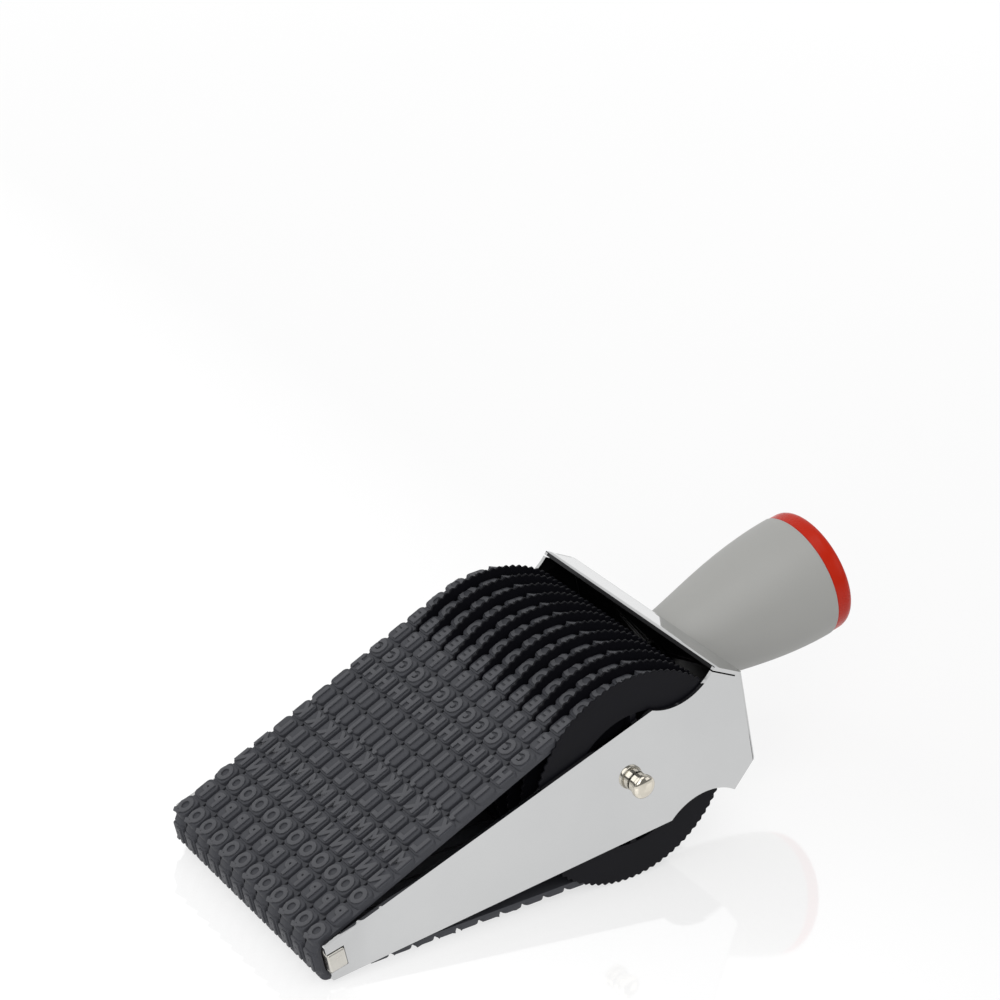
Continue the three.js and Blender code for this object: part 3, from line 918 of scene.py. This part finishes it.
handle_end = handle_start + handle_length
floor_x = handle_start + handle_floor
handle_rings = [handle_ring(handle_start, foot_round + inset) for inset in foot_ring_insets]
for step in range(7):
    angle = quarter * step / 6
    handle_rings.append(handle_ring(handle_start + foot_round * (1 - math.cos(angle)),
                                    foot_round * (1 - math.sin(angle))))
for step in range(1, swell_steps):
    x = handle_start + foot_round + (handle_length - foot_round - lip_round) * step / swell_steps
    handle_rings.append(handle_ring(x))
for step in range(5):
    angle = quarter * step / 4
    handle_rings.append(handle_ring(handle_end - lip_round * (1 - math.sin(angle)),
                                    lip_round * (1 - math.cos(angle))))
handle_rings.append(handle_ring(handle_end, handle_wall))
for step in range(20):
    handle_rings.append(handle_ring(handle_end + (floor_x - handle_end) * (step + 1) / 20, handle_wall))
handle = lofted("handle_moulding", handle_rings)
carve(handle, pin("boss", boss_radius, floor_x - boss_overlap, floor_x + boss_length, False), "UNION")
bore_end = floor_x + boss_bore_depth
carve(handle, pin("boss_bore", boss_bore, handle_start - boss_overlap, bore_end, False), "DIFFERENCE")
smooth(handle, 40)

grey_plastic, shader, add, join = material("grey_moulded_plastic")
marks = add("ShaderNodeGroup", node_tree=handled)
marks.inputs["Smear size"].default_value = 60.0
marks.inputs["Smears"].default_value = 0.08
marks.inputs["Scratches"].default_value = 0.03
spot = add("ShaderNodeTexCoord")
flow = add("ShaderNodeTexNoise", Scale=45.0, Detail=4.0, Roughness=0.55)
join(spot.outputs["Object"], flow.inputs["Vector"])
tone = two_tones(add, join, flow.outputs["Fac"], (0.43, 0.43, 0.413), (0.46, 0.46, 0.442))
join(tone, shader.inputs["Base Color"])
rough = add("ShaderNodeMath", operation="ADD")
rough.inputs[1].default_value = 0.42
join(marks.outputs["Roughness added"], rough.inputs[0])
join(rough.outputs["Value"], shader.inputs["Roughness"])
grain = add("ShaderNodeTexVoronoi", Scale=1500.0)
join(spot.outputs["Object"], grain.inputs["Vector"])
relief = add("ShaderNodeBump", Strength=0.10, Distance=0.00005)
join(grain.outputs["Distance"], relief.inputs["Height"])
join(relief.outputs["Normal"], shader.inputs["Normal"])
fit(handle, grey_plastic, "stamp_frame", "handle", "handle_body")

# Handle cap. A glossy red plastic plug, pressed into the handle's mouth so that its rim shows as a
# coloured band, with a low crown.
cap_seat = 0.03
cap_height = 3.6
cap_edge = 1.2
cap_crown = 0.6
cap_inset = 0.2
cap_lean = 1.2
plug_length = 4.0
plug_play = 1.2
plug_edge = 0.5
cap_foot_round = 0.25

cap_start = handle_end + cap_seat
cap_rim = handle_end + run_gap + cap_height
cap_flat = flat_distance / head_radius
cap_end = cap_rim + cap_edge
plug_radius = head_radius - handle_wall - run_gap - plug_play
cap_rings = [section(cap_start - plug_length, plug_radius - plug_edge, cap_flat),
             section(cap_start - plug_length + plug_edge, plug_radius, cap_flat),
             section(cap_start, plug_radius, cap_flat),
             section(cap_start, head_radius - cap_foot_round - 1, cap_flat)]
cap_radius = head_radius - cap_inset
for step in range(4):
    angle = quarter * step / 3
    cap_rings.append(section(cap_start + cap_foot_round * (1 - math.cos(angle)),
                             cap_radius - cap_foot_round * (1 - math.sin(angle)), cap_flat))
for step in range(11):
    angle = quarter * step / 10
    cap_rings.append(section(cap_rim - cap_lean + (cap_edge + cap_lean) * math.sin(angle),
                             cap_radius - cap_edge * (1 - math.cos(angle)), cap_flat))
for step in range(1, 12):
    share = step / 12
    dome = cap_crown * (1 - (1 - share) ** 2)
    cap_rings.append(section(cap_end + dome, (cap_radius - cap_edge) * (1 - share), cap_flat))
cap = lofted("handle_cap_moulding", cap_rings)
smooth(cap, 40)

red_plastic, shader, add, join = material("glossy_red_plastic")
shader.inputs["Specular IOR Level"].default_value = 0.2
marks = add("ShaderNodeGroup", node_tree=handled)
marks.inputs["Smears"].default_value = 0.10
marks.inputs["Scratches"].default_value = 0.04
spot = add("ShaderNodeTexCoord")
flow = add("ShaderNodeTexNoise", Scale=70.0, Detail=3.0)
join(spot.outputs["Object"], flow.inputs["Vector"])
tone = two_tones(add, join, flow.outputs["Fac"], (0.54, 0.016, 0.003), (0.64, 0.024, 0.004))
join(tone, shader.inputs["Base Color"])
rough = add("ShaderNodeMath", operation="ADD")
rough.inputs[1].default_value = 0.24
join(marks.outputs["Roughness added"], rough.inputs[0])
join(rough.outputs["Value"], shader.inputs["Roughness"])
fit(cap, red_plastic, "stamp_frame", "cap", "handle_cap")

# Handle screw and washer. A blackened pan head screw with a cross recess, and its flat washer,
# which clamp the handle to the plate from the wheels' side.
screw_radius = 2.0
screw_length = 20.0
screw_head_radius = 4.0
screw_head_height = 2.2
screw_head_edge = 0.9
screw_thread_pitch = 1.4
screw_thread_depth = 0.45
screw_shank = 3
screw_point = 1
cross_width = 0.9
cross_reach = 2.2
cross_depth = 1.2
washer_radius = 5.0
washer_thickness = 0.8
washer_edge = 0.12
washer_hole = 2.3

screw_start = rear_x - sheet - run_gap - washer_thickness - run_gap
head_top = screw_start - screw_head_height
screw_profile = [(0, head_top), (screw_head_radius - screw_head_edge, head_top)]
for step in range(1, 8):
    angle = quarter * step / 7
    screw_profile.append((screw_head_radius - screw_head_edge * (1 - math.sin(angle)),
                          head_top + screw_head_edge * (1 - math.cos(angle))))
screw_tip = screw_start + screw_length
screw_profile += [(screw_head_radius, screw_start), (screw_radius, screw_start)]
screw_profile += threaded(screw_radius, screw_start + screw_shank, screw_tip - screw_point,
                          screw_thread_pitch, screw_thread_depth)
screw_profile += [(screw_radius * 0.4, screw_tip), (0, screw_tip)]
screw = turned("handle_screw_turned", screw_profile, 48, across=False)
for reach_y, reach_z in ((cross_reach, cross_width / 2), (cross_width / 2, cross_reach)):
    recess = [(head_top - 1, -reach_z), (head_top + cross_depth, -reach_z),
              (head_top + cross_depth, reach_z), (head_top - 1, reach_z)]
    carve(screw, prism("cross", recess, -reach_y, reach_y, False), "DIFFERENCE")
smooth(screw, 30)
black_oxide = plated("black_oxide", (0.020, 0.020, 0.021), (0.034, 0.034, 0.036), 0.4, 0.6)
fit(screw, black_oxide, "stamp_frame", "handle_fixing", "handle_screw")
washer_start = screw_start + run_gap
washer_end = washer_start + washer_thickness
washer_profile = [(washer_hole, washer_start + washer_edge), (washer_hole + washer_edge, washer_start),
                  (washer_radius - washer_edge, washer_start), (washer_radius, washer_start + washer_edge),
                  (washer_radius, washer_end - washer_edge), (washer_radius - washer_edge, washer_end),
                  (washer_hole + washer_edge, washer_end), (washer_hole, washer_end - washer_edge),
                  (washer_hole, washer_start + washer_edge)]
washer = turned("handle_screw_washer_stamped", washer_profile, 64, across=False)
fit(washer, black_oxide, "stamp_frame", "handle_fixing", "handle_screw_washer")

# Studio. A pale glossy table that glows like one lit from below, under large soft lights and a
# white room, with the camera at the photograph's place.
floor_half = 1.5
camera_place = Vector((-0.376478, -0.50875, 0.394561))
camera_right = Vector((0.82797583, -0.55914045, 0.04263787))
camera_down = Vector((-0.21023212, -0.38000178, -0.90077805))
camera_lens = 102.372

table_shape = bmesh.new()
table_corners = [(-floor_half, -floor_half), (floor_half, -floor_half),
                 (floor_half, floor_half), (-floor_half, floor_half)]
table_shape.faces.new([table_shape.verts.new((x, y, cad_low.z)) for x, y in table_corners])
table = piece_of("table", table_shape)
table_white, shader, add, join = material("white_table")
spot = add("ShaderNodeTexCoord")
soft = add("ShaderNodeTexNoise", Scale=3.0, Detail=2.0)
join(spot.outputs["Object"], soft.inputs["Vector"])
tone = two_tones(add, join, soft.outputs["Fac"], (0.34, 0.34, 0.34), (0.36, 0.36, 0.36))
join(tone, shader.inputs["Base Color"])
shader.inputs["Roughness"].default_value = 0.05
shader.inputs["IOR"].default_value = 2.0
shader.inputs["Emission Color"].default_value = (1, 1, 1, 1)
split = add("ShaderNodeSeparateXYZ")
join(spot.outputs["Object"], split.inputs["Vector"])
# Painted light: the table's glow is brighter on the left and fades towards the right.
painted_falloff_left_to_right = add("ShaderNodeMapRange", **{"From Min": -0.1, "From Max": 0.1,
                                             "To Min": 0.62, "To Max": 0.48})
join(split.outputs["X"], painted_falloff_left_to_right.inputs["Value"])
# Painted shadow: the glow falls almost to nothing in a soft box under the stamp, so the chrome mirrors a
# darker table beneath it.
reach = []
for side, centre, half in (("X", -0.03, 0.055), ("Y", 0.0, 0.031)):
    off = add("ShaderNodeMath", operation="SUBTRACT")
    off.inputs[1].default_value = centre
    join(split.outputs[side], off.inputs[0])
    far = add("ShaderNodeMath", operation="ABSOLUTE")
    join(off.outputs["Value"], far.inputs[0])
    share = add("ShaderNodeMath", operation="DIVIDE")
    share.inputs[1].default_value = half
    join(far.outputs["Value"], share.inputs[0])
    reach.append(share)
wider = add("ShaderNodeMath", operation="MAXIMUM")
join(reach[0].outputs["Value"], wider.inputs[0])
join(reach[1].outputs["Value"], wider.inputs[1])
outside_painted_shadow = add("ShaderNodeMapRange", **{"From Min": 0.75, "From Max": 1.0, "To Min": 0.05})
join(wider.outputs["Value"], outside_painted_shadow.inputs["Value"])
glow = add("ShaderNodeMath", operation="MULTIPLY")
join(painted_falloff_left_to_right.outputs["Result"], glow.inputs[0])
join(outside_painted_shadow.outputs["Result"], glow.inputs[1])
rays = add("ShaderNodeLightPath")
seen = add("ShaderNodeMath", operation="MULTIPLY_ADD")
seen.inputs[1].default_value = 0.12
join(rays.outputs["Is Camera Ray"], seen.inputs[0])
join(glow.outputs["Value"], seen.inputs[2])
bounced = add("ShaderNodeMath", operation="MULTIPLY_ADD")
bounced.inputs[1].default_value = -0.25
join(rays.outputs["Is Diffuse Ray"], bounced.inputs[0])
join(seen.outputs["Value"], bounced.inputs[2])
bounced.use_clamp = True
join(bounced.outputs["Value"], shader.inputs["Emission Strength"])
table.data.materials.append(table_white)


def soft_light(name, place, aim, width, height, power):
    lamp = bpy.data.lights.new(name, "AREA")
    lamp.shape = "RECTANGLE"
    lamp.size = width
    lamp.size_y = height
    lamp.energy = power
    holder = bpy.data.objects.new(name, lamp)
    holder.location = place
    holder.rotation_euler = (Vector(aim) - Vector(place)).to_track_quat("-Z", "Y").to_euler()
    bpy.context.scene.collection.objects.link(holder)


middle_aim = (0.0, 0.0, 0.03)
soft_light("top_light", (-0.1, -0.35, 1.3), middle_aim, 1.1, 0.9, 3.5)
soft_light("front_light", (-0.7, -1.0, 0.85), middle_aim, 1.1, 1.0, 6.5)
soft_light("right_light", (0.9, -0.9, 0.6), middle_aim, 0.7, 0.7, 1.2)

world = bpy.context.scene.world or bpy.data.worlds.new("studio")
bpy.context.scene.world = world
world.use_nodes = True
sky = world.node_tree.nodes["Background"]
sky.inputs["Color"].default_value = (1, 1, 1, 1)
toward = world.node_tree.nodes.new("ShaderNodeTexCoord")
split = world.node_tree.nodes.new("ShaderNodeSeparateXYZ")
world.node_tree.links.new(toward.outputs["Generated"], split.inputs["Vector"])
room = world.node_tree.nodes.new("ShaderNodeMapRange")
room.inputs["From Min"].default_value = -0.6
room.inputs["From Max"].default_value = 0.7
room.inputs["To Min"].default_value = 0.2
room.inputs["To Max"].default_value = 0.82
world.node_tree.links.new(split.outputs["Y"], room.inputs["Value"])
world.node_tree.links.new(room.outputs["Result"], sky.inputs["Strength"])

lens = bpy.data.cameras.new("camera")
lens.lens = camera_lens
lens.sensor_width = 36.0
lens.clip_start = 0.01
camera = bpy.data.objects.new("camera", lens)
back = camera_right.cross(-camera_down)
camera.matrix_world = Matrix((
    (camera_right.x, -camera_down.x, back.x, camera_place.x),
    (camera_right.y, -camera_down.y, back.y, camera_place.y),
    (camera_right.z, -camera_down.z, back.z, camera_place.z),
    (0, 0, 0, 1)))
bpy.context.scene.collection.objects.link(camera)
bpy.context.scene.camera = camera
bpy.context.scene.view_settings.view_transform = "Standard"
